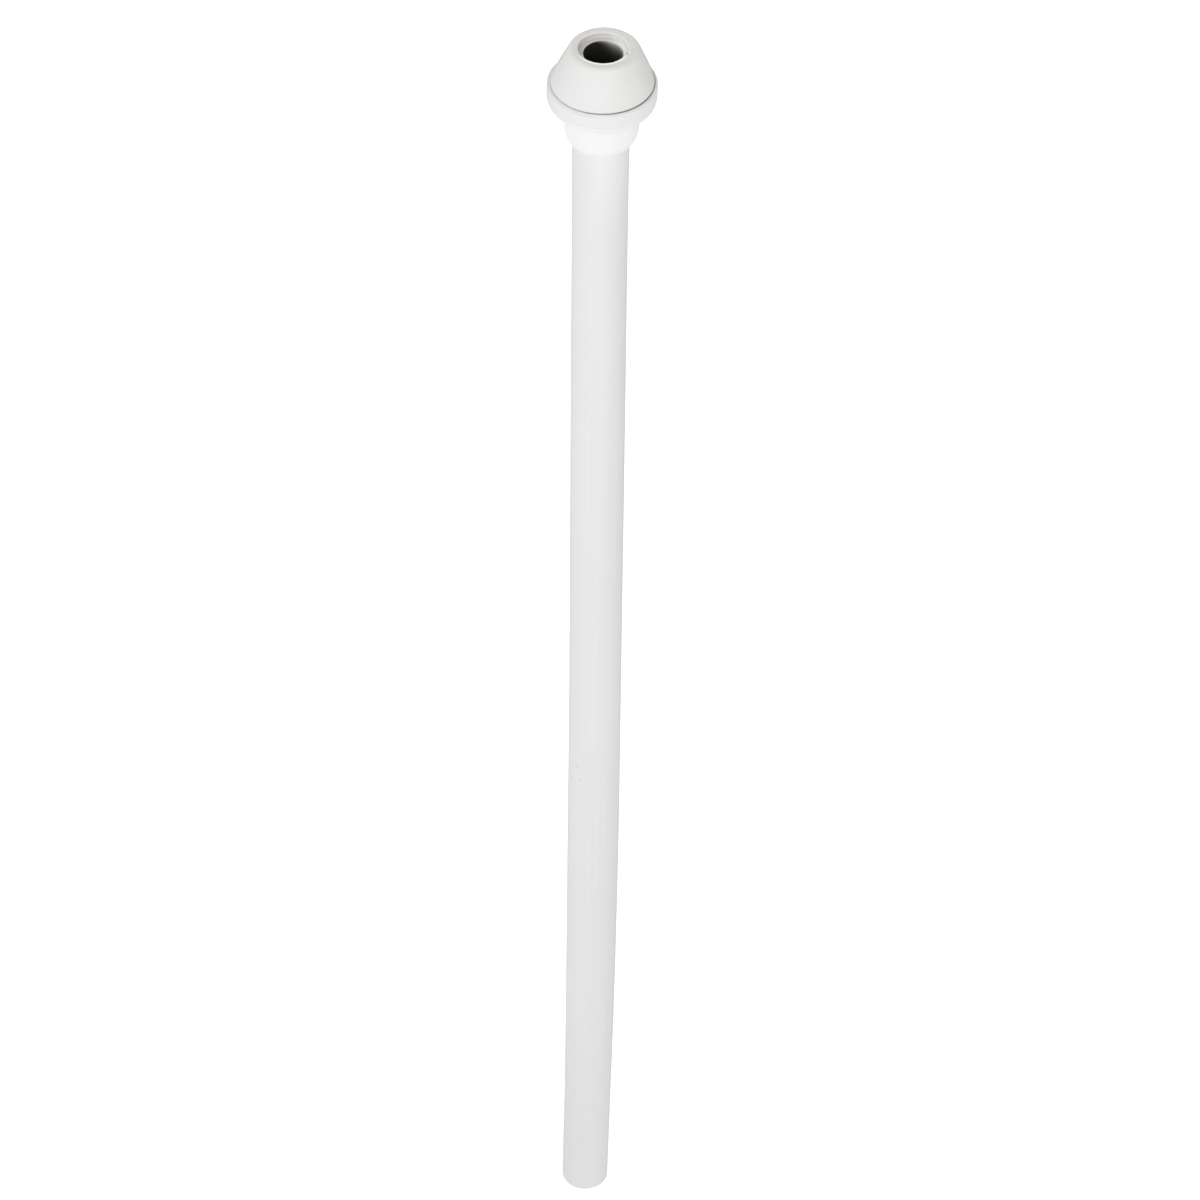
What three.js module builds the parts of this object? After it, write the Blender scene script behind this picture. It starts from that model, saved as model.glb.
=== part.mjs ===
// Supply riser tube with a conical sealing head. Its plain foot goes into a 3/8 inch compression stop,
// and a coupling nut pulls its cone up into a tapped shank.
//
// Four separate pieces on one axis, in millimetres. +Z runs up the tube from its plain cut end to the
// sealing cone, and the origin is the centre of the plain end's face.
//
//   riser_tube     the plain plastic tube, cut square at both ends
//   nosepiece      a hard sleeve moulded onto the tube: the bulb that shows, a neck, and a collar
//                  that the cone hides
//   friction_ring  turns freely on the neck, so that the coupling nut doesn't twist the cone
//   cone_washer    the soft cone, slipped over the tube's end and the collar

import * as THREE from "three";

// ---- dimensions (_D diameter, _ID inside diameter, _Z height, _W radial width, _H axial height) ----
const TOTAL_LENGTH = 304.8; // 12 inch riser, foot to the top of the cone
const TUBE_OD = 9.525; // 3/8 inch
const TUBE_ID = 6.35; // 1/4 inch
const TUBE_EDGE = 0.25; // chamfers on the tube's cut ends
const TUBE_TOP_BORE_EDGE = 0.15; // smaller chamfer at the top of the bore

const BULB_D = 12.5;
const BULB_TOP_Z = TOTAL_LENGTH - 11.5; // shoulder below the ring
const BULB_TOP_EDGE = 0.15;
const BULB_ROUND_Z = TOTAL_LENGTH - 14.8; // where the bulb starts to close in on the tube
const BULB_FOOT_Z = TOTAL_LENGTH - 18.3;
const BULB_FOOT_WALL = 0.3; // thickness of the bulb's thin lower edge
const NECK_D = 11.1;
const COLLAR_D = 11.9; // snaps through the ring and keeps it on the neck
const COLLAR_TOP_Z = TOTAL_LENGTH - 4.3;
const COLLAR_EDGE_W = 0.5; // chamfer on the collar's top edge
const COLLAR_EDGE_H = 0.7;

const RING_D = 18.05;
const RING_TOP_Z = TOTAL_LENGTH - 7.1; // face that the cone's land rests on
const RING_LIP_Z = TOTAL_LENGTH - 7.0; // low lip that stands round the cone's rim
const RING_LIP_ID = 17.24;
const GROOVE_ID = 16.3; // relief groove inside the lip
const GROOVE_Z = TOTAL_LENGTH - 7.35;
const RING_SIDE_Z = TOTAL_LENGTH - 9.35; // foot of the straight side, above the rounded underside
const RING_UNDER_Z = TOTAL_LENGTH - 11.45;
const RING_UNDER_D = 12.85; // where the rounding meets the flat underside
const RING_ROUND_W = 0.36; // rounding of the ring's top edge
const RING_ROUND_H = 0.45;

const CONE_BASE_D = 16.87; // widest part of the cone's straight side
const CONE_BASE_Z = TOTAL_LENGTH - 6.82; // underside of the cone's relieved rim
const CONE_BASE_EDGE_W = 0.12; // chamfer on the rim's lower edge
const CONE_BASE_EDGE_H = 0.15;
const CONE_LAND_D = 15.2; // inner land that rests on the ring
const CONE_LAND_FLARE = 0.15; // radial widening from the land up to the rim's underside
const CONE_BULGE = 0.09; // the side is very slightly barrelled
const BULGE_DIRECTION = [0.92, 0.39]; // [radius, height], about square to the side
const BULGE_STEPS = 5;
const TOP_FLAT_D = 10.3; // flat ring on top
const TOP_ROUND_W = 0.81; // rounding between the flat ring and the cone's side
const TOP_ROUND_H = 0.9;
const OPENING_D = 7.93; // hole through the cone's top
const OPENING_EDGE = 0.12;
const LIP = 1.2; // from the tube's top end to the top of the cone

const RUNNING = 0.08; // radial clearance of pieces that turn or slide
const BONDED = 0.03; // joint line between the tube and the nosepiece
const REST = 0.05; // gap between faces that rest on each other
const COLLAR_HEADROOM = 0.15; // gap between the collar's top and the cone

const SEGMENTS = 72; // facets round every piece

// Radii and heights that more than one piece uses.
const tubeR = TUBE_OD / 2;
const tubeTop = TOTAL_LENGTH - LIP;
const neckR = NECK_D / 2;
const collarR = COLLAR_D / 2;
const aboveRing = RING_TOP_Z + REST;

// ---- profile helpers -----------------------------------------------------------------------------
// A profile is a closed outline of [radius, height] points. It starts at the bottom of the inside,
// runs up the outside and comes back down the inside.

// Points of an elliptical arc, from one angle to another in degrees, both ends included.
function arc({ centre: [r, z], width, height, from, to, steps }) {
  const points = [];
  for (let i = 0; i <= steps; i++) {
    const angle = ((from + ((to - from) * i) / steps) * Math.PI) / 180;
    points.push([r + width * Math.cos(angle), z + height * Math.sin(angle)]);
  }
  return points;
}

// A ring-shaped solid: the profile closed and turned about Z.
function turned(name, profile, material) {
  const loop = [...profile, profile[0]].map(([r, z]) => new THREE.Vector2(r, z));
  const geometry = new THREE.LatheGeometry(loop, SEGMENTS);
  geometry.rotateX(Math.PI / 2); // the lathe turns about Y
  const mesh = new THREE.Mesh(geometry, material);
  mesh.name = name;
  return mesh;
}

// ---- materials -----------------------------------------------------------------------------------
function nonMetal({ color, roughness }) {
  return new THREE.MeshStandardMaterial({ color, roughness, metalness: 0 });
}

const tubePlastic = nonMetal({ color: 0xececeb, roughness: 0.45 });
const nosePlastic = nonMetal({ color: 0xf8f7f7, roughness: 0.4 });
const ringPlastic = nonMetal({ color: 0xeeedec, roughness: 0.35 });
const coneRubber = nonMetal({ color: 0xe6e4e1, roughness: 0.7 });

// ---- riser_tube: a plain tube with its four edges just broken ------------------------------------
function riserTube() {
  const boreR = TUBE_ID / 2;
  const profile = [
    [boreR + TUBE_EDGE, 0],
    [tubeR - TUBE_EDGE, 0],
    [tubeR, TUBE_EDGE],
    [tubeR, tubeTop - TUBE_EDGE],
    [tubeR - TUBE_EDGE, tubeTop],
    [boreR + TUBE_TOP_BORE_EDGE, tubeTop],
    [boreR, tubeTop - TUBE_TOP_BORE_EDGE],
    [boreR, TUBE_EDGE],
  ];
  return turned("riser_tube", profile, tubePlastic);
}

// ---- nosepiece: bulb, neck and collar in one moulding --------------------------------------------
function nosepiece() {
  const sleeveR = tubeR + BONDED;
  const bulbR = BULB_D / 2;
  const footR = sleeveR + BULB_FOOT_WALL;
  const bulbRound = arc({
    centre: [footR, BULB_ROUND_Z],
    width: bulbR - footR,
    height: BULB_ROUND_Z - BULB_FOOT_Z,
    from: -76, // the foot's outer edge stands in for -90
    to: 0,
    steps: 7,
  });
  const profile = [
    [sleeveR, BULB_FOOT_Z],
    [footR, BULB_FOOT_Z],
    ...bulbRound,
    [bulbR, BULB_TOP_Z - BULB_TOP_EDGE],
    [bulbR - BULB_TOP_EDGE, BULB_TOP_Z],
    [neckR, BULB_TOP_Z],
    [neckR, aboveRing],
    [collarR, aboveRing],
    [collarR, COLLAR_TOP_Z - COLLAR_EDGE_H],
    [collarR - COLLAR_EDGE_W, COLLAR_TOP_Z],
    [sleeveR, COLLAR_TOP_Z],
  ];
  return turned("nosepiece", profile, nosePlastic);
}

// ---- friction_ring: a low lip round its flat top, rounded below where the coupling nut bears ------
function frictionRing() {
  const ringR = RING_D / 2;
  const lipR = RING_LIP_ID / 2;
  const grooveR = GROOVE_ID / 2;
  const underR = RING_UNDER_D / 2;
  const boreR = neckR + RUNNING;
  const underRound = arc({
    centre: [underR, RING_SIDE_Z],
    width: ringR - underR,
    height: RING_SIDE_Z - RING_UNDER_Z,
    from: -80, // the flat underside's outer edge stands in for -90
    to: 0,
    steps: 8,
  });
  const topRound = arc({
    centre: [ringR - RING_ROUND_W, RING_LIP_Z - RING_ROUND_H],
    width: RING_ROUND_W,
    height: RING_ROUND_H,
    from: 0,
    to: 90,
    steps: 5,
  });
  const profile = [
    [boreR, RING_UNDER_Z],
    [underR, RING_UNDER_Z],
    ...underRound,
    ...topRound,
    [lipR, RING_LIP_Z],
    [lipR, GROOVE_Z],
    [grooveR, GROOVE_Z],
    [grooveR, RING_TOP_Z],
    [boreR, RING_TOP_Z],
  ];
  return turned("friction_ring", profile, ringPlastic);
}

// ---- cone_washer: its rim is relieved, so that only an inner land rests on the ring --------------
// The cone's side: a straight line with a slight swell. It leaves out its end point.
function swollenSide([footR, footZ], [topR, topZ]) {
  const points = [];
  for (let i = 0; i < BULGE_STEPS; i++) {
    const t = i / BULGE_STEPS;
    const swell = CONE_BULGE * 4 * t * (1 - t); // a parabola that peaks halfway up
    points.push([
      footR + (topR - footR) * t + swell * BULGE_DIRECTION[0],
      footZ + (topZ - footZ) * t + swell * BULGE_DIRECTION[1],
    ]);
  }
  return points;
}

function coneWasher() {
  const baseR = CONE_BASE_D / 2;
  const openingR = OPENING_D / 2;
  const landR = CONE_LAND_D / 2;
  const pocketR = collarR + RUNNING;
  const pocketTop = COLLAR_TOP_Z + COLLAR_HEADROOM;
  const socketR = tubeR + RUNNING;
  const socketTop = tubeTop + REST;
  const topRound = arc({
    centre: [TOP_FLAT_D / 2, TOTAL_LENGTH - TOP_ROUND_H],
    width: TOP_ROUND_W,
    height: TOP_ROUND_H,
    from: 22, // where the side meets the rounding
    to: 90,
    steps: 5,
  });
  const profile = [
    [pocketR, aboveRing],
    [landR, aboveRing],
    [landR + CONE_LAND_FLARE, CONE_BASE_Z],
    [baseR - CONE_BASE_EDGE_W, CONE_BASE_Z],
    ...swollenSide([baseR, CONE_BASE_Z + CONE_BASE_EDGE_H], topRound[0]),
    ...topRound,
    [openingR + OPENING_EDGE, TOTAL_LENGTH],
    [openingR, TOTAL_LENGTH - OPENING_EDGE],
    [openingR, socketTop],
    [socketR, socketTop],
    [socketR, pocketTop],
    [pocketR, pocketTop],
  ];
  return turned("cone_washer", profile, coneRubber);
}

// ---- assembly ------------------------------------------------------------------------------------
function group(...members) {
  return new THREE.Group().add(...members);
}

const riser = group(
  group(riserTube(), nosepiece()), // fast on each other
  group(frictionRing()), // turns on the neck
  group(coneWasher()), // slips off over the tube's end
);

export default riser;
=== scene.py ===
"""Looks for the supply riser tube: four turned pieces with their moulding and cutting marks,
procedural materials, and a white light tent.

The tube stands on the floor along Z, with its foot at Z 0. The head at its top is a bulb on a
sleeve, a ring round the sleeve's neck and a soft cone. The front is towards -Y, the right towards +X.
Lengths are millimetres until a mesh or a node takes them. The stage is in metres.
"""

import math
from functools import cached_property

import bpy
import numpy as np
from mathutils import Matrix, Vector


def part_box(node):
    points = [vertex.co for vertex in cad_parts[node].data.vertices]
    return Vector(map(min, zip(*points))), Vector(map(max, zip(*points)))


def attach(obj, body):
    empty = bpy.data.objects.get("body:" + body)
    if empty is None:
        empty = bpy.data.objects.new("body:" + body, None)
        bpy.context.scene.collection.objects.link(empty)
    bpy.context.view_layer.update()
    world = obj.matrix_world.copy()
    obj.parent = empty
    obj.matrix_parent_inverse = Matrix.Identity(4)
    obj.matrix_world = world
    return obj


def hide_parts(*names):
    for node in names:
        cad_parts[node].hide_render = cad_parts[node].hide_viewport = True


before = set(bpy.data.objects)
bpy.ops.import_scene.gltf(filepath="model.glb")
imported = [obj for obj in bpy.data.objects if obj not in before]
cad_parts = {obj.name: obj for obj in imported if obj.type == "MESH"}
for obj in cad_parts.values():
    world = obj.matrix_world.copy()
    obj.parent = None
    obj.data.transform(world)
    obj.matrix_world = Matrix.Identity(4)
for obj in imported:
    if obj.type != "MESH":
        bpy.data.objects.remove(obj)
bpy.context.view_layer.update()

MM = 0.001


def box_mm(node):
    low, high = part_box(node)
    return np.array(low) / MM, np.array(high) / MM


_, tube_high = box_mm("riser_tube")
nose_low, nose_high = box_mm("nosepiece")
ring_low, ring_high = box_mm("friction_ring")
cone_low, cone_high = box_mm("cone_washer")

# Heights and radii (_R), from the CAD pieces with small fitting allowances.
TOP = float(cone_high[2])
HEAD_FOOT = TOP - 18.3

TUBE_R = float(tube_high[0])
TUBE_TOP = float(tube_high[2]) + 0.08
BORE_R = TUBE_R * 2 / 3

BULB_R = float(nose_high[0])
BULB_FOOT = float(nose_low[2])
BULB_WIDEST = TOP - 14.8
BULB_TOP = TOP - 11.47
SLEEVE_R = TUBE_R + 0.03
SLEEVE_SKIN_R = TUBE_R + 0.06  # between the sleeve's bore and the bulb's outer skin
NECK_R = 5.55
COLLAR_R = 5.95
COLLAR_TOP = float(nose_high[2])

RING_R = float(ring_high[0]) + 0.045
RING_BORE_R = NECK_R + 0.08
RING_FOOT = float(ring_low[2])
RING_SIDE = TOP - 9.35  # foot of the ring's straight side
RING_TOP = float(ring_high[2]) - 0.02
RING_LIP = RING_TOP + 0.2
RING_ROUND_W, RING_ROUND_H = 0.42, 0.45  # rounding of the ring's top edge
RING_LEDGE_R = 8.15  # where the ring's top steps down to the groove
RING_SHIFT = 0.12  # how far the head's skins stand off the tube's axis at the ring

CONE_R = float(cone_high[0]) + 0.05
CONE_FOOT = float(cone_low[2]) + 0.08
CONE_RIM = TOP - 6.77
CONE_LAND_R = 7.6
CONE_FLAT_R = 5.15  # where the flat top begins to round off
CONE_ROUND_W, CONE_ROUND_H = 0.81, 0.9
OPENING_R = 4.0
CONE_BORE_R = TUBE_R + 0.08
SOCKET_R = COLLAR_R + 0.08  # the cone's hollow for the collar
SEAT = TUBE_TOP + 0.015  # the ledge inside the cone, over the tube's end
PIT, NIB = (4.06, -1.36), (4.44, -1.16)  # the cone's gate mark, x and y

LIP_R = CONE_R + 0.07  # inside of the ring's low lip
LIP_OFF = 0.075  # how far it stands off centre, towards +X


# ---- turned surfaces -------------------------------------------------------------------------


def rounded(corners, step):
    """A closed section with its corners rounded and its straight runs cut into steps.
    A corner is (radius, z, rounding) or (radius, z, rounding, step after this corner)."""
    count = len(corners)
    places = [np.array(corner[:2], float) for corner in corners]
    cuts = []
    for i in range(count):
        place = places[i]
        before, after = places[i - 1] - place, places[(i + 1) % count] - place
        before_length, after_length = np.linalg.norm(before), np.linalg.norm(after)
        before, after = before / before_length, after / after_length
        angle = math.acos(max(-1.0, min(1.0, float(before @ after))))
        rounding = corners[i][2]
        if rounding <= 0 or angle > math.radians(179.5):
            cuts.append([place])
            continue
        # A rounding takes up less than half of the shorter side.
        back = min(rounding / math.tan(angle / 2), 0.49 * before_length, 0.49 * after_length)
        rounding = back * math.tan(angle / 2)
        start, end = place + before * back, place + after * back
        middle = (before + after) / np.linalg.norm(before + after)
        centre = place + middle * (rounding / math.sin(angle / 2))
        turn = math.pi - angle
        steps = max(3, int(math.ceil(math.degrees(turn) / 12)))
        start, end = start - centre, end - centre
        cut = []
        for j in range(steps + 1):
            part = j / steps
            spoke = (
                math.sin((1 - part) * turn) * start + math.sin(part * turn) * end
            ) / math.sin(turn)
            cut.append(centre + spoke)
        cuts.append(cut)
    points = []
    for i in range(count):
        points.extend(cuts[i])
        start, end = cuts[i][-1], cuts[(i + 1) % count][0]
        run_step = corners[i][3] if len(corners[i]) > 3 else step
        steps = int(np.linalg.norm(end - start) // run_step)
        for j in range(1, steps + 1):
            points.append(start + (end - start) * j / (steps + 1))
    kept = [points[0]]
    for point in points[1:]:
        if np.linalg.norm(point - kept[-1]) > 1e-4:
            kept.append(point)
    if np.linalg.norm(kept[0] - kept[-1]) < 1e-4:
        kept.pop()
    return np.array(kept)


def arc(centre, size, start, end, steps):
    """Corners along an ellipse: centre and half sizes are (radius, z), start and end degrees."""
    turns = np.radians(np.linspace(start, end, steps + 1))
    return [
        (centre[0] + size[0] * math.cos(turn), centre[1] + size[1] * math.sin(turn), 0.0)
        for turn in turns
    ]


def turned(name, section, segments, shape, lean, oval=None):
    """A closed ring-shaped mesh from a closed section that goes up outside and down inside.
    In shape and lean, out and up are the normal's parts away from the axis and along Z.
    shape(x, y, z, angle, radius, out, up) gives each point's shift along its own normal,
    lean(radius, z, out, up) its shift along X, and oval(z) how much wider the piece is along X
    and narrower along Y."""

    def spun(row):
        return np.repeat(row[None, :], segments, 0)

    count = len(section)
    turns = np.arange(segments) * 2 * math.pi / segments
    angle = np.repeat(turns[:, None], count, 1)
    radius, z = spun(section[:, 0]), spun(section[:, 1])
    tangent = np.roll(section, -1, 0) - np.roll(section, 1, 0)
    tangent /= np.linalg.norm(tangent, axis=1)[:, None] + 1e-12
    out, up = spun(tangent[:, 1]), spun(-tangent[:, 0])
    shift = shape(radius * np.cos(angle), radius * np.sin(angle), z, angle, radius, out, up)
    radius, z = radius + out * shift, z + up * shift
    if oval is not None:
        radius = radius * (1 + oval(z) * np.cos(2 * angle))
    x = radius * np.cos(angle) + lean(radius, z, out, up)
    points = np.stack([x, radius * np.sin(angle), z], -1).reshape(-1, 3) * MM

    i = np.arange(segments)[:, None]
    j = np.arange(count)[None, :]
    next_i, next_j = (i + 1) % segments, (j + 1) % count
    quads = np.stack(
        [i * count + j, next_i * count + j, next_i * count + next_j, i * count + next_j], -1
    ).reshape(-1, 4)
    mesh = bpy.data.meshes.new(name)
    mesh.vertices.add(len(points))
    mesh.vertices.foreach_set("co", points.astype(np.float32).ravel())
    mesh.loops.add(quads.size)
    mesh.loops.foreach_set("vertex_index", quads.astype(np.int32).ravel())
    mesh.polygons.add(len(quads))
    mesh.polygons.foreach_set("loop_start", np.arange(0, quads.size, 4, dtype=np.int32))
    mesh.polygons.foreach_set("use_smooth", np.ones(len(quads), bool))
    mesh.update(calc_edges=True)
    mesh.validate()
    return placed(name, mesh)


def placed(name, data):
    obj = bpy.data.objects.new(name, data)
    bpy.context.scene.collection.objects.link(obj)
    return obj


def wrap(angle):
    return (angle + math.pi) % (2 * math.pi) - math.pi


def bump(distance, width):
    """A smooth hump, 1 at distance 0 and nothing past width."""
    part = np.clip(np.abs(distance) / width, 0, 1)
    return (1 - part * part) ** 2


def smooth(value, low, high):
    """A smooth step from 0 at low to 1 at high."""
    part = np.clip((value - low) / (high - low), 0, 1)
    return part * part * (3 - 2 * part)


def around(angle, seed, terms, lowest=1):
    """A smooth random line round the axis, from sine waves of lowest and more per turn."""
    random = np.random.default_rng(seed)
    line = np.zeros_like(angle)
    total = 0.0
    for k in range(lowest, lowest + terms):
        weight = 1 / math.sqrt(k)
        line += weight * np.sin(k * angle + random.uniform(0, 2 * math.pi))
        total += weight * weight
    return line / math.sqrt(total)


# ---- how the pieces stand off the axis -------------------------------------------------------

SET_TOP = 284.0  # the tube's set lies below this height
HEAD_LEAN_UP = 0.25  # the tube's lean inside the head, at the top

# Height from TOP, and the head's shift towards +X.
HEAD_LEAN = (
    (-18.3, 0.0), (-14.0, 0.12), (-11.6, 0.155), (-11.4, 0.1), (-9.3, 0.09),
    (-6.8, 0.12), (-4.5, 0.25), (-2.5, 0.3), (-1.0, 0.36), (0.0, 0.4),
)

# Height, and how far the tube is out of round in thousandths of its radius.
TUBE_OVAL = (
    (0, 18), (28, 17), (57, 40), (85, 51), (114, 53), (142, 34),
    (170, 20), (199, 17), (227, 10), (256, -3), (276, -8), (285, 0),
)


def inner_lean(z):
    return HEAD_LEAN_UP * np.clip((z - HEAD_FOOT) / 18.3, 0, 1)


def tube_lean(z):
    """The tube keeps a slight set from being cut and handled, and leans a little inside the head."""
    down = np.clip((SET_TOP - z) / SET_TOP, 0, 1)
    return 2.337 * down**2 - 3.009 * down**3 + inner_lean(z)


def tube_oval(z):
    """Handling has squeezed the tube very slightly out of round, most of all below its middle."""
    at, by = np.transpose(TUBE_OVAL)
    grid = np.linspace(-40, 330, 741)
    line = np.interp(grid, at, by * 0.001)
    kernel = np.hanning(31)
    line = np.convolve(np.pad(line, 15, mode="edge"), kernel / kernel.sum(), mode="valid")
    return np.interp(z, grid, line) * smooth(z, 286.2, 285.2)


def head_lean(z):
    """The head's outer skins stand a little to one side of the axis, most of all at the top."""
    at, by = np.transpose(HEAD_LEAN)
    return np.interp(z - TOP, at, by)


def nose_lean(radius, z, out, up):
    """The sleeve follows the tube and the bulb the head, but the neck stays true for the ring."""
    sleeve = (radius < SLEEVE_SKIN_R) * inner_lean(z)
    bulb = head_lean(z) * smooth(radius, SLEEVE_SKIN_R, TUBE_R + 0.3)
    return sleeve + bulb * smooth(z, TOP - 11.4, TOP - 11.7)


def ring_lean(radius, z, out, up):
    return head_lean(z) * smooth(radius, NECK_R + 0.3, RING_R - 1.2)


def cone_lean(radius, z, out, up):
    """The skin follows the head, less so near the opening. The hollow follows the tube."""
    skin = (out > 0.1) | (up > 0.5) | (radius > 8.0)
    share = 0.26 + 0.74 * smooth(radius, OPENING_R + 0.5, OPENING_R + 1.1)
    bore = np.where(radius < TUBE_R + 0.2, inner_lean(z), 0.0)
    within = np.where(z > TUBE_TOP + 0.03, 0.1, bore)
    return np.where(skin, head_lean(z) * share, within)


# ---- the four pieces: corners are (radius, z, rounding, step) --------------------------------


def tube_section():
    return rounded(
        [
            (TUBE_R, 0.0, 0.05, 0.5),
            (TUBE_R, 6.0, 0.0, 3.0),
            (TUBE_R, TUBE_TOP, 0.2, 0.16),
            (BORE_R + 0.15, TUBE_TOP, 0.05, 0.1),
            (BORE_R, TUBE_TOP - 0.15, 0.06, 0.3),
            (BORE_R, TUBE_TOP - 12, 0.0, 8.0),
            (BORE_R, 6.0, 0.0, 0.6),
            (BORE_R, 0.0, 0.12, 0.16),
        ],
        step=3.0,
    )


def tube_shape(x, y, z, angle, radius, out, up):
    outside = np.clip((radius - 4.0) / 0.5, 0, 1) * (np.abs(out) > 0.6)
    shift = outside * 0.008 * np.cos(2 * angle + 0.6 + z * 0.004)
    # A few shallow die lines run the whole length.
    random = np.random.default_rng(5)
    for _ in range(9):
        at = random.uniform(-math.pi, math.pi)
        width = random.uniform(0.03, 0.07)
        height = random.uniform(-1, 1)
        shift += outside * 0.004 * height * bump(wrap(angle - at - z * 0.00025), width)
    # The blade leaves a fine ragged edge and a shallow step on the foot's face.
    foot = bump(z, 0.5) * (radius > BORE_R + 0.15)
    edge = bump(z, 0.35) * np.clip((radius - (TUBE_R - 0.35)) / 0.3, 0, 1)
    shift += edge * (0.012 * around(angle, 11, 24, 3) + 0.015 * bump(wrap(angle + 0.9), 0.35))
    shift -= foot * (up < -0.7) * 0.03 * (np.tanh((y * 0.8 + x * 0.3 - 0.6) * 3) + 1) * 0.5
    # Nothing goes below the floor.
    to_floor = z / np.maximum(-up, 1e-3) * (up < -0.05)
    shift = np.where((z + up * shift < 0.0) & (up < 0), to_floor, shift)
    # Fine waves cross the top face.
    face = (z > TUBE_TOP - 0.3) & (up > 0.7)
    shift += face * 0.008 * np.sin((x * 0.9 + y * 0.4) * 9 + 0.8 * np.sin(y * 3))
    return shift


def nose_section():
    foot_r = SLEEVE_R + 0.3
    size = (BULB_R - foot_r, BULB_WIDEST - BULB_FOOT)
    return rounded(
        [(SLEEVE_R, BULB_FOOT, 0.04, 0.1), (foot_r + 0.02, BULB_FOOT, 0.1, 0.1)]
        + arc((foot_r, BULB_WIDEST), size, start=-78, end=0, steps=44)
        + [
            (BULB_R, BULB_TOP, 0.05, 0.2),
            (NECK_R, BULB_TOP, 0.0, 0.3),
            (NECK_R, RING_TOP + 0.05, 0.0, 0.3),
            (COLLAR_R, RING_TOP + 0.05, 0.06, 0.3),
            (COLLAR_R, COLLAR_TOP - 0.7, 0.2, 0.3),
            (COLLAR_R - 0.5, COLLAR_TOP, 0.12, 0.3),
            (SLEEVE_R, COLLAR_TOP, 0.05, 1.0),
        ],
        step=0.25,
    )


def nose_shape(x, y, z, angle, radius, out, up):
    shown = (z < TOP - 11.6) * (radius > SLEEVE_SKIN_R)
    # Two halves of the mould meet at either side, with a trace of flash at the thin foot.
    line = bump(wrap(angle - math.pi + 0.05), 0.022) + bump(wrap(angle + 0.05), 0.022)
    near_foot = bump(z - BULB_FOOT, 0.55)
    nib = bump(wrap(angle - math.pi + 0.12), 0.055)
    shift = shown * 0.018 * line
    shift += shown * near_foot * 0.075 * nib
    # The skin and the foot's edge wander a little.
    shift += shown * 0.006 * around(angle, 23, 5, 2)
    shift += shown * near_foot * 0.012 * around(angle, 29, 20, 4)
    # The gate stood at the back of the bulb, and was cut off nearly flush.
    gate = bump(np.hypot(wrap(angle - math.pi / 2) * BULB_R, z - (TOP - 13.0)), 0.55)
    shift += shown * 0.05 * np.clip(gate * 2.5, 0, 1)
    return shift


def ring_section():
    under = BULB_R + 0.05
    # The underside is a little fuller than a plain quarter round.
    curve = []
    for turn in np.radians(np.linspace(-86, -2, 49)):
        across, down = math.cos(turn) ** 0.87, (-math.sin(turn)) ** 0.87
        curve.append(
            (under + (RING_R - under) * across, RING_SIDE - (RING_SIDE - RING_FOOT) * down, 0.0)
        )
    centre = (RING_R - RING_ROUND_W, RING_LIP - RING_ROUND_H)
    return rounded(
        [(RING_BORE_R, RING_FOOT, 0.08, 0.2), (under, RING_FOOT, 0.0, 0.1)]
        + curve
        + [(RING_R, RING_SIDE, 0.0, 0.03), (RING_R, RING_SIDE + 0.24, 0.0, 0.2)]
        + arc(centre, (RING_ROUND_W, RING_ROUND_H), start=0, end=88, steps=18)
        + [
            (LIP_R, RING_LIP, 0.04, 0.06),
            (LIP_R, RING_TOP - 0.1, 0.04, 0.1),
            (RING_LEDGE_R, RING_TOP - 0.1, 0.04, 0.1),
            (RING_LEDGE_R, RING_TOP, 0.04, 0.3),
            (RING_BORE_R, RING_TOP, 0.08, 0.4),
        ],
        step=0.2,
    )


def ring_shape(x, y, z, angle, radius, out, up):
    outside = (radius > RING_R - 0.5) * 1.0
    # The mould's parting step runs round the foot of the straight side.
    shift = -outside * 0.03 * bump(z - (RING_SIDE + 0.1), 0.09)
    uneven = 1 + 0.5 * around(angle, 41, 9, 2)
    shift += outside * 0.012 * bump(z - (RING_SIDE + 0.2), 0.06) * uneven
    # The lip stands slightly off centre, so that the seam is wider towards +X.
    off = np.where(np.cos(angle) > 0, LIP_OFF, 0.022) * np.cos(angle)
    lip = bump(radius - LIP_R, 0.1) * (z < RING_LIP + 0.01) * (z > RING_TOP - 0.3)
    shift -= lip * (out < 0.3) * off
    # It is highest at the front and the back.
    low = np.where(np.cos(angle) > 0, 0.12, -0.125) * np.cos(angle)
    shift -= (radius > LIP_R - 0.02) * (z > RING_LIP - 0.3) * np.clip(up, 0, 1) * low
    # Fine flash stands on the top edge over part of the circle.
    top_edge = bump(np.hypot(radius - (RING_R - 0.03), z - (RING_LIP - 0.35)), 0.16)
    shift += top_edge * 0.028 * np.clip(around(angle, 47, 14, 3), 0, 1)
    shift += outside * 0.005 * around(angle, 53, 6, 2)
    return shift


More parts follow.
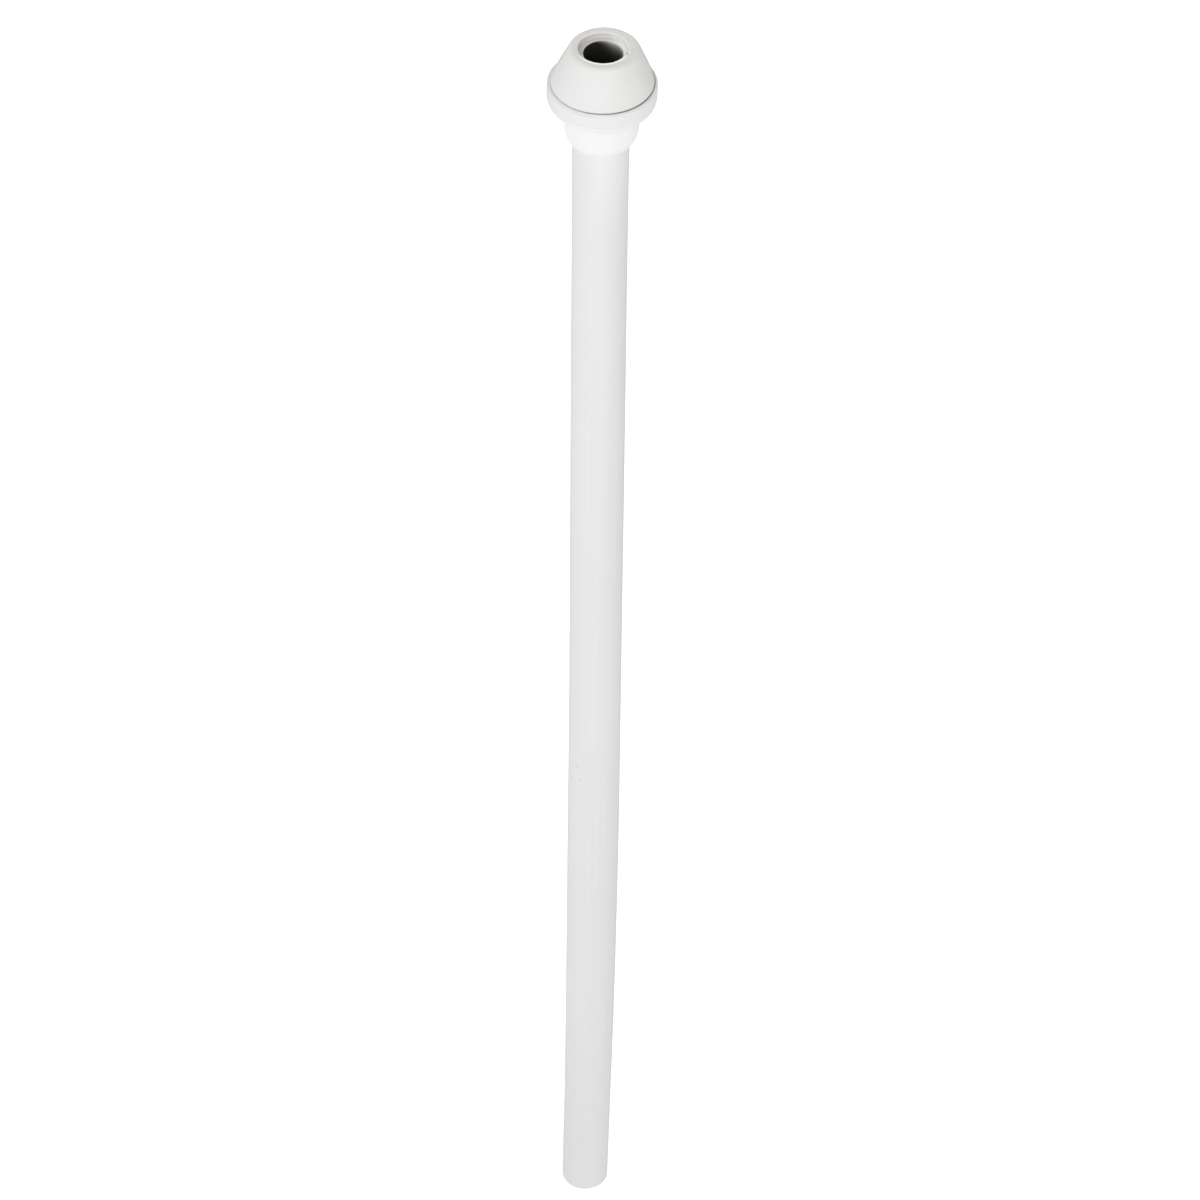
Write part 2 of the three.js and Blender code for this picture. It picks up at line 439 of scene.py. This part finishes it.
def cone_section():
    centre = (CONE_FLAT_R, TOP - CONE_ROUND_H)
    curve = arc(centre, (CONE_ROUND_W, CONE_ROUND_H), start=22, end=88, steps=26)
    # The side swells a little between the rim and the rounded top.
    foot = np.array([CONE_R, CONE_RIM + 0.13])
    head = np.array(curve[0][:2])
    side = []
    for i in range(1, 40):
        part = i / 40
        swell = 0.09 * 4 * part * (1 - part)
        point = foot + (head - foot) * part + np.array([0.92, 0.39]) * swell
        side.append((point[0], point[1], 0.0, 0.2))
    return rounded(
        [
            (SOCKET_R, CONE_FOOT, 0.05, 0.4),
            (CONE_LAND_R, CONE_FOOT, 0.05, 0.2),
            (CONE_LAND_R + 0.12, CONE_RIM, 0.05, 0.2),
            (CONE_R, CONE_RIM, 0.09, 0.1),
            (foot[0], foot[1], 0.0, 0.2),
        ]
        + side
        + [(*corner, 0.1) for corner in curve]
        + [
            (CONE_FLAT_R - 0.1, TOP, 0.0, 0.045),
            (OPENING_R, TOP, 0.17, 0.1),
            (OPENING_R, SEAT, 0.0, 0.2),
            (CONE_BORE_R, SEAT, 0.0, 0.4),
            (CONE_BORE_R, COLLAR_TOP + 0.15, 0.05, 0.3),
            (SOCKET_R, COLLAR_TOP + 0.15, 0.08, 0.4),
        ],
        step=0.2,
    )


def cone_shape(x, y, z, angle, radius, out, up):
    # Soft moulding: the side wanders by a few hundredths, and the rim carries a trace of flash.
    side = (out > 0.3) * (z > CONE_RIM + 0.3) * (radius > OPENING_R + 0.6)
    wander = 0.012 * around(angle + z * 0.05, 61, 5, 2) + 0.01 * np.sin(z * 1.7 + 2 * angle)
    shift = side * wander
    rim = bump(np.hypot(radius - CONE_R, z - (CONE_RIM + 0.03)), 0.16)
    shift += rim * (0.008 + 0.012 * np.clip(around(angle, 67, 26, 4), -0.6, 1))
    # The rim hangs a little lower towards -X.
    under = bump(z - CONE_RIM, 0.25) * (radius > 7.65) * np.clip(-up, 0, 1)
    shift += under * 0.12 * np.clip(-np.cos(angle), 0, 1)
    # The top face sinks a little towards the opening, and its edge is not quite even.
    top = (z > TOP - 0.12) * (up > 0.75)
    shift -= top * 0.03 * np.clip((5.0 - radius) / 1.1, 0, 1)
    lip = bump(np.hypot(radius - OPENING_R, z - TOP), 0.3)
    shift += lip * 0.012 * around(angle, 71, 16, 3)
    # The opening's wall stands further in at the front.
    wall = (radius < OPENING_R + 0.3) * (z > TUBE_TOP + 0.03) * np.clip(-out, 0, 1)
    shift += wall * 0.07 * np.clip(-np.sin(angle), 0, 1) ** 2
    # A small gate mark: a pit beside a low nib.
    upper = (up > 0.3) * (z > TOP - 0.6)
    shift += upper * 0.1 * bump(np.hypot(x - NIB[0], y - NIB[1]), 0.24)
    shift -= upper * 0.14 * bump(np.hypot(x - PIT[0], y - PIT[1]), 0.24)
    return shift


tube = turned(
    "tube", tube_section(), 224, tube_shape, lambda radius, z, out, up: tube_lean(z), tube_oval
)
nose = turned("bulb_sleeve", nose_section(), 448, nose_shape, nose_lean)
ring = turned("flange_ring", ring_section(), 448, ring_shape, ring_lean)
cone = turned("seal_cone", cone_section(), 448, cone_shape, cone_lean)

for piece, body, node, slot in (
    (tube, "riser_body", "riser_tube", "tube_plastic"),
    (nose, "riser_body", "nosepiece", "nose_plastic"),
    (ring, "ring_body", "friction_ring", "ring_plastic"),
    (cone, "washer_body", "cone_washer", "cone_rubber"),
):
    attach(piece, body)
    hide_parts(node)


# ---- node helpers ----------------------------------------------------------------------------


class Tree:
    """A little shorthand for building the node tree of a material or a world."""

    def __init__(self, owner):
        owner.use_nodes = True
        self.tree = owner.node_tree
        self.tree.nodes.clear()

    def add(self, kind, **settings):
        node = self.tree.nodes.new(kind)
        for key, value in settings.items():
            setattr(node, key, value)
        return node

    def put(self, value, socket):
        """Links a socket, or sets a plain value."""
        if isinstance(value, bpy.types.NodeSocket):
            self.tree.links.new(value, socket)
        else:
            socket.default_value = value

    def fill(self, node, **values):
        """Puts values into inputs by name, with _ for a space."""
        for key, value in values.items():
            self.put(value, node.inputs[key.replace("_", " ")])

    def math(self, operation, *values):
        node = self.add("ShaderNodeMath", operation=operation)
        for value, socket in zip(values, node.inputs):
            self.put(value, socket)
        return node.outputs[0]

    def times(self, product, *factors):
        for factor in factors:
            product = self.math("MULTIPLY", product, factor)
        return product

    def vector_math(self, operation, vector, other):
        node = self.add("ShaderNodeVectorMath", operation=operation)
        self.put(vector, node.inputs[0])
        self.put(other, node.inputs[1])
        return node.outputs["Value"]

    def ramp(self, value, start, end, to=(0.0, 1.0), smooth=True):
        """Goes from to[0] at start to to[1] at end, and is level outside them."""
        kind = "SMOOTHSTEP" if smooth else "LINEAR"
        node = self.add("ShaderNodeMapRange", interpolation_type=kind)
        self.fill(node, Value=value, From_Min=start, From_Max=end, To_Min=to[0], To_Max=to[1])
        return node.outputs["Result"]

    def camera_ray(self):
        return self.add("ShaderNodeLightPath").outputs["Is Camera Ray"]


class Surface(Tree):
    """A principled material. Its colour is built up in shade, one layer of paint at a time."""

    def __init__(self, name):
        self.material = bpy.data.materials.new(name)
        super().__init__(self.material)
        output = self.add("ShaderNodeOutputMaterial")
        self.bsdf = self.add("ShaderNodeBsdfPrincipled")
        self.put(self.bsdf.outputs["BSDF"], output.inputs["Surface"])
        self.place = self.add("ShaderNodeTexCoord").outputs["Object"]
        parts = self.add("ShaderNodeSeparateXYZ")
        self.put(self.place, parts.inputs[0])
        self.x, self.y, self.z = parts.outputs

    @cached_property
    def flat(self):
        """The place with Z left out."""
        node = self.add("ShaderNodeCombineXYZ")
        self.put(self.x, node.inputs[0])
        self.put(self.y, node.inputs[1])
        return node.outputs[0]

    def radius_from(self, x):
        """Distance from an axis that stands x millimetres off the tube's own, towards +X."""
        return self.vector_math("DISTANCE", self.flat, (x * MM, 0, 0))

    def ramp_mm(self, value, start, end, to=(0.0, 1.0), smooth=True):
        """A ramp over a length, with start and end in millimetres."""
        return self.ramp(value, start * MM, end * MM, to, smooth)

    def mapped(self, kind, scale, offset):
        mapping = self.add("ShaderNodeMapping")
        self.fill(mapping, Vector=self.place, Scale=scale, Location=offset)
        node = self.add(kind)
        self.fill(node, Vector=mapping.outputs["Vector"], Scale=1.0)
        return node

    def noise(self, across, along=None, detail=3.0, rough=0.5, offset=(0, 0, 0)):
        """Noise with a scale per metre across the axis, and along it if that differs."""
        scale = (across, across, across if along is None else along)
        node = self.mapped("ShaderNodeTexNoise", scale, offset)
        self.fill(node, Detail=detail, Roughness=rough)
        return node.outputs["Fac"]

    def specks(self, scale, size, share, seed):
        """Sparse round specks: 1 inside a speck, 0 elsewhere."""
        offset = (seed, seed * 2.3, seed * 0.7)
        cell = self.mapped("ShaderNodeTexVoronoi", (scale,) * 3, offset)
        inside = self.ramp(cell.outputs["Distance"], start=size, end=size * 0.45)
        pick = self.add("ShaderNodeSeparateColor")
        self.put(cell.outputs["Color"], pick.inputs[0])
        return self.times(inside, self.math("LESS_THAN", pick.outputs[0], share))

    def spot(self, at, inner, outer):
        """1 within inner of a point, 0 past outer, all in millimetres."""
        distance = self.vector_math("DISTANCE", self.place, [c * MM for c in at])
        return self.ramp_mm(distance, start=outer, end=inner)

    def mix(self, factor, first, second, blend="MIX"):
        node = self.add("ShaderNodeMix", data_type="RGBA", blend_type=blend)
        self.fill(node, Factor=factor)
        # Sockets 6 and 7 are the colours A and B, and output 2 the colour.
        for value, key in ((first, 6), (second, 7)):
            colour = (*value, 1.0) if isinstance(value, tuple) else value
            self.put(colour, node.inputs[key])
        return node.outputs[2]

    def paint(self, colour, *masks, blend="MIX"):
        """Lays a colour over the shade where the product of the masks says."""
        self.shade = self.mix(self.times(*masks), self.shade, colour, blend)

    def darken_edge(self):
        """Paints shade: darkens the colour a little where the surface turns away from the view."""
        node = self.add("ShaderNodeLayerWeight")
        self.fill(node, Blend=0.5)
        level = self.ramp(node.outputs["Facing"], start=0.72, end=0.86, to=(1.0, 0.93))
        self.shade = self.mix(level, (0, 0, 0), self.shade)

    def shade_towards_sides(self):
        """A mask for painted shade that grows towards both sides, more towards +X."""
        return self.math(
            "MAXIMUM",
            self.ramp_mm(self.x, start=-5, end=8, to=(0, 0.45), smooth=False),
            self.ramp_mm(self.x, start=-5, end=-8.2, to=(0, 0.3), smooth=False),
        )

    def bumped(self, *layers):
        """Layers are (height socket, depth in millimetres)."""
        last = None
        for height, depth in layers:
            node = self.add("ShaderNodeBump")
            self.fill(node, Strength=1.0, Distance=depth * MM, Height=height)
            if last is not None:
                self.fill(node, Normal=last)
            last = node.outputs["Normal"]
        self.fill(self.bsdf, Normal=last)

    def finish(self, **values):
        self.fill(self.bsdf, Base_Color=self.shade, **values)
        return self.material


def grey(value, warm=0.0):
    return (value * (1 + warm * 0.5), value, value * (1 - warm))


# ---- materials -------------------------------------------------------------------------------

TUBE_TONE = 0.80
NOSE_TONE = 0.89
RING_TONE = 0.826
CONE_TONE = 0.832
# Painted shade for the groove between the cone and the ring.
PAINTED_SHADE = grey(0.12, warm=0.1)

# Dull spots on the tube: angle in degrees, height, radius, strength.
TUBE_SPOTS = (
    (-131.2, 134.9, 0.50, 0.28),
    (-148.0, 130.9, 0.34, 0.28),
    (-124.4, 131.5, 0.56, 0.19),
    (-127.9, 128.2, 0.60, 0.06),
)
# Two faint short marks, one above the other, under the bulb.
MARK_HEIGHTS = (TOP - 19.75, TOP - 20.6)
MARK_ANGLES = (-92.5, -96.0, -99.5)

BORE_SHIFT = 0.24  # the bore's axis at the tube's top, towards +X
BORE_LIGHT = (0.83, 0.557)  # X and Y of the wall that the light reaches
NICKS_X, NICKS_Y = (-0.35, -0.05, 0.25, 0.5), 5.64  # a row at the back of the cone's top


def on_tube(angle, z, lean=0.0):
    turn = math.radians(angle)
    return (TUBE_R * math.cos(turn) + lean, TUBE_R * math.sin(turn), z)


def bore_colour(mat):
    """The bore is in the dark a short way in. Its wall fades to that over the better part of a
    millimetre on the side that the light reaches, and almost at once on the other."""
    from_top = mat.math("SUBTRACT", TUBE_TOP * MM, mat.z)
    depth = mat.math("MINIMUM", from_top, mat.math("ADD", mat.z, 0.0))
    across = [
        mat.times(axis, share / (BORE_R * MM)) for axis, share in zip((mat.x, mat.y), BORE_LIGHT)
    ]
    toward = mat.ramp(mat.math("ADD", *across), start=0.2, end=1, smooth=False)
    toward = mat.math("POWER", toward, 1.45)
    reach = mat.ramp(toward, start=0, end=1, to=(0.05 * MM, 0.88 * MM), smooth=False)
    peak = mat.ramp(toward, start=0, end=0.85, to=(0.05, 0.95), smooth=False)
    past = mat.math("MAXIMUM", mat.math("SUBTRACT", depth, 0.05 * MM), 0.0)
    # The light falls off exponentially past the first twentieth of a millimetre.
    lit = mat.math("POWER", 2.718, mat.times(mat.math("DIVIDE", past, reach), -1.0))
    return mat.mix(mat.times(lit, peak), grey(0.024, warm=0.12), grey(0.66, warm=0.03))


def paint_tube_skin(mat, lines):
    cloud = mat.ramp(mat.noise(45, along=15.75), start=0.3, end=0.7)
    mat.shade = mat.mix(cloud, grey(TUBE_TONE * 0.985, warm=0.004), grey(TUBE_TONE * 1.012))
    streaks = mat.ramp(lines, start=0.3, end=0.75, to=(0, 0.5))
    mat.paint(grey(TUBE_TONE * 0.955, warm=0.004), streaks)
    for angle, z, size, dark in TUBE_SPOTS:
        spot = mat.spot(on_tube(angle, z, tube_lean(z)), inner=size * 0.3, outer=size)
        mat.paint(grey(0.45, warm=0.05), spot, dark)
    for z in MARK_HEIGHTS:
        for angle in MARK_ANGLES:
            mark = mat.spot(on_tube(angle, z), inner=0.05, outer=0.34)
            mat.paint(grey(0.45, warm=0.02), mark, 0.06)
    # Painted light: the tube is painted brighter near the bulb, towards +X.
    mat.paint(
        grey(0.87),
        mat.ramp_mm(mat.z, start=268, end=286.5, to=(0, 0.6)),
        mat.ramp_mm(mat.x, start=-3.2, end=0.8),
    )
    # Painted shade: the foot is painted slightly duller, more so towards -X.
    mat.paint(
        grey(TUBE_TONE * 0.935),
        mat.ramp_mm(mat.z, start=75, end=12),
        mat.ramp_mm(mat.x, start=1, end=-4.4, to=(0.25, 1)),
    )


def tube_material():
    mat = Surface("tube_extruded")
    lines = mat.noise(2300, along=11, detail=2, rough=0.55)
    fine = mat.noise(7000, along=30, detail=2, rough=0.6)
    mottle = mat.noise(700, rough=0.6)
    paint_tube_skin(mat, lines)
    # Cut ends are a little rougher and duller than the drawn skin.
    cut_top = mat.ramp_mm(mat.z, start=TUBE_TOP - 0.12, end=TUBE_TOP - 0.02)
    cut_foot = mat.ramp_mm(mat.z, start=0.10, end=0.01)
    cut = mat.math("MAXIMUM", cut_top, cut_foot)
    mat.paint(grey(TUBE_TONE * 0.9, warm=0.03), cut, 0.8)
    # Painted shade and light: the top end is painted darker towards -X and paler towards +X.
    shaded_side = mat.ramp_mm(mat.x, start=-3.6, end=2.6, to=(0.9, 0.1))
    mat.paint(grey(TUBE_TONE * 0.8, warm=0.06), cut_top, shaded_side)
    lit_side = mat.ramp_mm(mat.x, start=0.8, end=3.4, to=(0, 0.95))
    mat.paint(grey(0.96, warm=0.01), cut_top, lit_side)
    from_bore = mat.radius_from(BORE_SHIFT)
    inside = mat.times(
        mat.ramp_mm(from_bore, start=BORE_R + 0.19, end=BORE_R + 0.15),
        mat.ramp_mm(mat.z, start=TUBE_TOP - 0.005, end=TUBE_TOP - 0.03),
    )
    mat.paint(bore_colour(mat), inside)
    # Painted shade where the surface turns away from the view.
    mat.darken_edge()
    skin_rough = mat.ramp(mottle, start=0.3, end=0.7, to=(0.36, 0.46))
    rougher = mat.times(mat.math("MAXIMUM", cut, inside), 0.25)
    mat.bumped((lines, 0.006), (fine, 0.0025), (mottle, 0.002))
    return mat.finish(
        Roughness=mat.math("ADD", skin_rough, rougher),
        IOR=1.5,
        Specular_IOR_Level=mat.ramp(inside, start=0, end=1, to=(0.35, 0.12)),
        Subsurface_Weight=mat.ramp(inside, start=0, end=1, to=(0.12, 0)),
        Subsurface_Scale=1.0 * MM,
        Subsurface_Radius=(1.2, 1.1, 1.0),
    )


def moulded(name, tone, warm, rough, grain, grain_depth, specular, under=0.08):
    """The ground of a moulded piece: cloudy tone, flow marks, dust, a fine grain and painted shade at
    the edges.
    grain is the grain's noise scale, and under the subsurface weight."""
    mat = Surface(name)
    cloud = mat.ramp(mat.noise(110), start=0.3, end=0.7)
    skin = mat.noise(grain, rough=0.6)
    flow = mat.noise(260, along=572, detail=2, offset=(3, 1, 2))
    mat.shade = mat.mix(cloud, grey(tone * 0.985, warm), grey(tone * 1.01, warm * 0.8))
    mat.paint(grey(tone * 0.965, warm), mat.ramp(flow, start=0.35, end=0.75, to=(0, 0.35)))
    dust = mat.specks(scale=700, size=0.17, share=0.05, seed=7.7)
    mat.paint(grey(0.5, warm=0.05), dust, 0.22)
    mat.darken_edge()
    mat.fill(
        mat.bsdf,
        Roughness=mat.ramp(skin, start=0.25, end=0.75, to=(rough - 0.05, rough + 0.06)),
        IOR=1.49,
        Specular_IOR_Level=specular,
        Subsurface_Weight=under,
        Subsurface_Scale=0.8 * MM,
        Subsurface_Radius=(1.1, 1.0, 0.95),
    )
    mat.bumped((flow, 0.004), (skin, grain_depth))
    return mat


def nose_material():
    mat = moulded(
        "nose_moulded", NOSE_TONE, warm=0.002, rough=0.42,
        grain=3200, grain_depth=0.0035, specular=0.4,
    )
    # Painted light: the bulb is painted brighter towards both sides.
    brighter = mat.math(
        "MAXIMUM",
        mat.ramp_mm(mat.x, start=1.8, end=6.1),
        mat.ramp_mm(mat.x, start=-3.8, end=-6.1),
    )
    mat.paint(grey(0.97, warm=0.002), brighter)
    return mat.finish()


def ring_line(mat, z, width, x_from, x_to, dark, ragged):
    """Painted shade: a fine dark line round the front of the ring, standing in for the thin shadow
    along an edge, between two places along X.
    """
    wander = mat.noise(900, along=200, detail=2, rough=0.6, offset=(5, 2, 9))
    wander = mat.ramp(wander, start=0.3, end=0.7, to=(-ragged * MM, ragged * MM))
    level = mat.math("ADD", mat.z, wander)
    off = mat.math("ABSOLUTE", mat.math("SUBTRACT", level, z * MM))
    line = mat.ramp_mm(off, start=width, end=width * 0.3)
    here = mat.times(
        mat.ramp_mm(mat.x, start=x_from - 0.5, end=x_from + 0.5),
        mat.ramp_mm(mat.x, start=x_to + 0.6, end=x_to - 0.6),
        mat.ramp_mm(mat.y, start=0, end=-1),
    )
    mat.paint(grey(0.3, warm=0.03), line, here, dark)


def ring_material():
    mat = moulded(
        "ring_moulded", RING_TONE, warm=0.008, rough=0.38,
        grain=2800, grain_depth=0.003, specular=0.4,
    )
    # Painted shade: the groove round the cone's rim is painted darker, more so towards the sides.
    from_lip = mat.radius_from(RING_SHIFT + LIP_OFF)
    mat.paint(
        PAINTED_SHADE,
        mat.times(
            mat.ramp_mm(from_lip, start=LIP_R + 0.05, end=LIP_R + 0.02),
            mat.ramp_mm(mat.z, start=RING_LIP - 0.03, end=RING_LIP - 0.14),
        ),
        mat.shade_towards_sides(),
    )
    # Painted light: the rounded underside is painted brighter.
    glow = mat.ramp_mm(mat.z, start=TOP - 9.3, end=TOP - 10.1, to=(0, 0.6))
    mat.paint(grey(NOSE_TONE, warm=0.004), glow)
    # Painted light: outside the groove it is painted paler towards +X.
    from_ring = mat.radius_from(RING_SHIFT)
    mat.paint(
        grey(0.875, warm=0.008),
        mat.ramp_mm(mat.x, start=2, end=8, to=(0, 0.75)),
        mat.ramp_mm(from_ring, start=LIP_R + 0.1, end=LIP_R + 0.2),
    )
    ring_line(mat, z=RING_LIP - 0.34, width=0.12, x_from=-3.9, x_to=0.9, dark=0.2, ragged=0.06)
    ring_line(mat, z=TOP - 9.3, width=0.1, x_from=-1.9, x_to=1.9, dark=0.05, ragged=0.01)
    return mat.finish()


def paint_opening(mat):
    """The opening's rim and recess, with painted light: a painted highlight round the rim that glows
    faintly at the front, and painted shade and light across the recess.
    """
    from_opening = mat.radius_from(0.1)
    rim = mat.times(
        mat.ramp_mm(from_opening, start=OPENING_R + 0.5, end=OPENING_R + 0.34),
        mat.ramp_mm(mat.z, start=TOP - 0.34, end=TOP - 0.14),
    )
    front = mat.ramp_mm(mat.y, start=-1.2, end=-3.4, to=(0, 0.95))
    back = mat.ramp_mm(mat.y, start=1.2, end=3.4, to=(0, 0.4))
    right = mat.ramp_mm(mat.x, start=2.2, end=3.8, to=(0, 0.3))
    sides = mat.math("ADD", mat.math("ADD", front, back), right)
    rim = mat.times(rim, mat.math("MINIMUM", sides, 1.0))
    # A painted highlight round the rim, palest at the front.
    mat.paint(grey(0.985, warm=0.004), rim)
    # Painted light: the front of the rim is given a faint glow.
    glow = mat.times(rim, mat.times(front, 0.1))
    mat.fill(mat.bsdf, Emission_Color=(1.0, 1.0, 1.0, 1.0), Emission_Strength=glow)
    # Painted shade and light: the recess is painted darker towards -X and paler towards +X.
    from_recess = mat.radius_from(0.1)
    recess = mat.times(
        mat.ramp_mm(from_recess, start=OPENING_R + 0.2, end=OPENING_R + 0.14),
        mat.ramp_mm(mat.z, start=TOP - 0.1, end=TOP - 0.24),
    )
    shaded_side = mat.ramp_mm(mat.x, start=-3.6, end=2.6, to=(0.95, 0.15))
    mat.paint(grey(CONE_TONE * 0.88, warm=0.055), recess, shaded_side)
    lit_side = mat.ramp_mm(mat.x, start=0.8, end=3.4, to=(0, 0.95))
    mat.paint(grey(0.98, warm=0.01), recess, lit_side)


def cone_material():
    mat = moulded(
        "cone_soft", CONE_TONE, warm=0.0, rough=0.62,
        grain=4200, grain_depth=0.006, specular=0.3, under=0.06,
    )
    # The cone is tinted a little yellower on its top face and towards +X.
    tint = mat.math(
        "MAXIMUM",
        mat.ramp_mm(mat.z, start=TOP - 0.9, end=TOP - 0.1),
        mat.ramp_mm(mat.x, start=0, end=8, to=(0.15, 0.8)),
    )
    mat.paint((1.012, 0.999, 0.962), tint, blend="MULTIPLY")
    paint_opening(mat)
    for x in NICKS_X:
        nick = mat.spot((x, NICKS_Y, TOP - 0.2), inner=0.2, outer=0.46)
        mat.paint(grey(0.22, warm=0.05), nick, 0.42)
    # Painted shade in the gate mark's pit, and a painted highlight on its nib.
    pit = mat.spot((PIT[0] + 0.05, PIT[1], TOP - 0.08), inner=0.08, outer=0.25)
    mat.paint(grey(0.22, warm=0.08), pit, 0.85)
    nib = mat.spot((*NIB, TOP + 0.02), inner=0.14, outer=0.3)
    mat.paint(grey(0.95), nib, 0.9)
    # Painted shade: the cone's foot, in the groove over the ring, is painted darker, more so towards
    # the sides.
    under = mat.ramp_mm(mat.z, start=CONE_FOOT + 0.36, end=CONE_FOOT + 0.24)
    mat.paint(PAINTED_SHADE, under, mat.shade_towards_sides())
    return mat.finish()


for piece, material in (
    (tube, tube_material()),
    (nose, nose_material()),
    (ring, ring_material()),
    (cone, cone_material()),
):
    piece.data.materials.clear()
    piece.data.materials.append(material)


# ---- stage, light and camera, in metres ------------------------------------------------------

FLOOR_HALF = 6.0
FLOOR_GLOW = 0.304
FLOOR_LIFT = 0.35  # further glow that only the camera sees

TENT_BASE = 0.455  # the tent's strength from every side
# Directions the tent is brighter towards, and by how much.
TENT_LOBES = (
    ((0, -1, 0.15), 0.198),
    ((-1, 0, 0.2), 0.367),
    ((0, 1, 0.3), 0.376),
    ((0.7, -0.7, 0.2), 0.278),
    ((0, 0, 1), 0.021),
)

KEY_AT = (-0.12, -0.60, 0.62)
KEY_SIZE = 0.35
KEY_WATTS = 1.484

CAMERA_ELEVATION = math.radians(45.7763)
CAMERA_ROLL = math.radians(0.7974)
CAMERA_DISTANCE = 0.732949
CAMERA_TARGET = Vector((0.9047 * MM, 0, 0.581138 * (TOP * MM)))
SENSOR_MM, LENS_MM = 36.0, 119.3283


def stage_floor():
    half = FLOOR_HALF
    mesh = bpy.data.meshes.new("floor")
    corners = [(-half, -half, 0), (half, -half, 0), (half, half, 0), (-half, half, 0)]
    mesh.from_pydata(corners, [], [(0, 1, 2, 3)])
    placed("floor", mesh)
    material = bpy.data.materials.new("floor_white")
    tree = Tree(material)
    output = tree.add("ShaderNodeOutputMaterial")
    both = tree.add("ShaderNodeAddShader")
    diffuse = tree.add("ShaderNodeBsdfDiffuse")
    tree.fill(diffuse, Color=(0.82, 0.82, 0.82, 1))
    # The floor looks over-exposed to the camera, as in a light tent, but lights the object
    # no more for it.
    glow = tree.add("ShaderNodeEmission")
    strength = tree.math("MULTIPLY_ADD", tree.camera_ray(), FLOOR_LIFT, FLOOR_GLOW)
    tree.fill(glow, Color=(1, 1, 1, 1), Strength=strength)
    tree.put(diffuse.outputs[0], both.inputs[0])
    tree.put(glow.outputs[0], both.inputs[1])
    tree.fill(output, Surface=both.outputs[0])
    mesh.materials.append(material)


def tent():
    """A white light tent: its light changes smoothly with direction, and the camera sees
    plain white."""
    world = bpy.data.worlds.new("tent")
    bpy.context.scene.world = world
    tree = Tree(world)
    output = tree.add("ShaderNodeOutputWorld")
    view = tree.add("ShaderNodeTexCoord").outputs["Generated"]
    total = tree.add("ShaderNodeValue").outputs[0]
    total.default_value = TENT_BASE
    for direction, amount in TENT_LOBES:
        facing = tree.vector_math("DOT_PRODUCT", view, Vector(direction).normalized())
        total = tree.math("ADD", total, tree.ramp(facing, start=0, end=1, to=(0, amount)))
    light = tree.add("ShaderNodeBackground")
    tree.fill(light, Strength=total)
    seen = tree.add("ShaderNodeBackground")
    tree.fill(seen, Color=(1, 1, 1, 1), Strength=1.0)
    mix = tree.add("ShaderNodeMixShader")
    tree.fill(mix, Fac=tree.camera_ray())
    tree.put(light.outputs[0], mix.inputs[1])
    tree.put(seen.outputs[0], mix.inputs[2])
    tree.fill(output, Surface=mix.outputs[0])


def key_light():
    """A square light in front and above, aimed at the head's top."""
    data = bpy.data.lights.new("key", "AREA")
    data.shape = "RECTANGLE"
    data.size = data.size_y = KEY_SIZE
    data.energy = KEY_WATTS
    obj = placed("key", data)
    obj.location = KEY_AT
    obj.rotation_mode = "QUATERNION"
    obj.rotation_quaternion = (Vector(KEY_AT) - Vector((0, 0, TOP * MM))).to_track_quat("Z", "Y")


def camera():
    """Stands in front, looking down at 46 degrees, with a slight roll."""
    rise, level = math.sin(CAMERA_ELEVATION), math.cos(CAMERA_ELEVATION)
    back, up, right = Vector((0, -level, rise)), Vector((0, rise, level)), Vector((1, 0, 0))
    turn, keep = math.sin(CAMERA_ROLL), math.cos(CAMERA_ROLL)
    rolled_right = keep * right + turn * up
    rolled_up = -turn * right + keep * up
    matrix = Matrix((rolled_right, rolled_up, back)).transposed().to_4x4()
    matrix.translation = CAMERA_TARGET + back * CAMERA_DISTANCE
    data = bpy.data.cameras.new("camera")
    data.sensor_fit = "HORIZONTAL"
    data.sensor_width = SENSOR_MM
    data.lens = LENS_MM
    data.clip_start, data.clip_end = 0.01, 50
    obj = placed("camera", data)
    obj.matrix_world = matrix
    bpy.context.scene.camera = obj


stage_floor()
tent()
key_light()
camera()

view = bpy.context.scene.view_settings
view.view_transform = "Standard"
view.look = "None"
view.exposure = 0.0
view.gamma = 1.0
